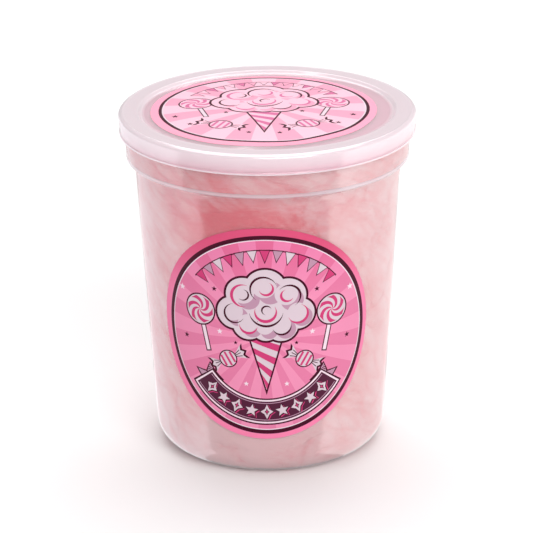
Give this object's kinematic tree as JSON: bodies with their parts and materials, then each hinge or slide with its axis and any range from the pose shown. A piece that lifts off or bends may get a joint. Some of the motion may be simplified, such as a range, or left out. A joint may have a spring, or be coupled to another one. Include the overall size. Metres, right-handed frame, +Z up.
{
  "type": "tub of cotton candy",
  "caption": "Round translucent snap-lid tub packed full of pink spun sugar, with a round printed label on its front and another on its lid.",
  "frame": {"origin": "middle of the tub's flat base, on the surface it stands on", "axes": "+Z up along the tub's axis; -Y is the front, where the large label is; +X to the right as seen from the front"},
  "size_m": [0.118, 0.118, 0.1406],
  "materials": {
    "tub_plastic": "milky, see-through injection-moulded polypropylene, softly glossy",
    "lid_plastic": "milky injection-moulded polypropylene, satin",
    "spun_sugar": "pale pink spun-sugar floss, dull and fibrous, darker where pressed together",
    "front_label_paper": "printed gloss label paper in pinks, plum and white",
    "lid_label_paper": "printed gloss label paper in pale pinks and plum"
  },
  "bodies": {
    "root": {"tub": "tub_plastic", "lid": "lid_plastic", "candy": "spun_sugar", "label_front": "front_label_paper", "label_lid": "lid_label_paper"}
  },
  "joints": []
}
